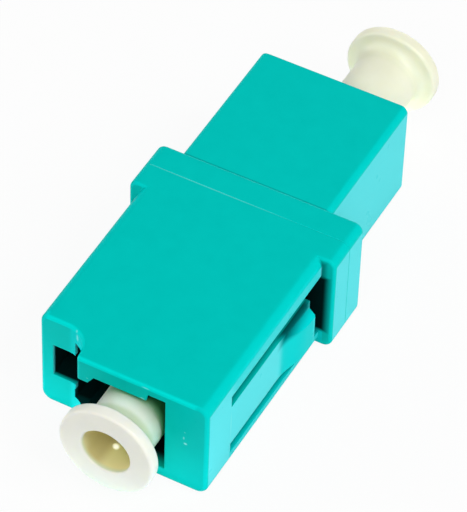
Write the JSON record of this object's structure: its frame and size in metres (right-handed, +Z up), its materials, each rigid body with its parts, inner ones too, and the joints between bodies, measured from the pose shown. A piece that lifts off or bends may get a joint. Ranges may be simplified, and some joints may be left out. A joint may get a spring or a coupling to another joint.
{
  "type": "fibre optic adapter",
  "caption": "Flanged panel adapter with a plug port at each end, a snap arm in its side wall, a split ceramic sleeve inside and pull-off dust caps.",
  "frame": {"origin": "middle of the flange's underside, in the weld plane between the two halves", "axes": "+Y along the fibre from the front half to the rear half, +X from the latch side to the snap arm side, +Z up as the adapter lies on its broad side"},
  "size_m": [0.0138, 0.0366, 0.0073],
  "materials": {
    "housing_plastic": "aqua moulded plastic, fine satin",
    "cap_plastic": "natural white soft plastic",
    "sleeve_ceramic": "ground white ceramic"
  },
  "bodies": {
    "adapter": {"front_housing": "housing_plastic", "rear_housing": "housing_plastic", "alignment_sleeve": "sleeve_ceramic"},
    "front_cap": {"front_dust_cap": "cap_plastic"},
    "rear_cap": {"rear_dust_cap": "cap_plastic"}
  },
  "joints": [
    {"name": "front_cap_pull", "type": "slide", "parent": "adapter", "child": "front_cap", "axis": [0, -1, 0], "range_m": [0, 0.016]},
    {"name": "rear_cap_pull", "type": "slide", "parent": "adapter", "child": "rear_cap", "axis": [0, 1, 0], "range_m": [0, 0.013]}
  ]
}
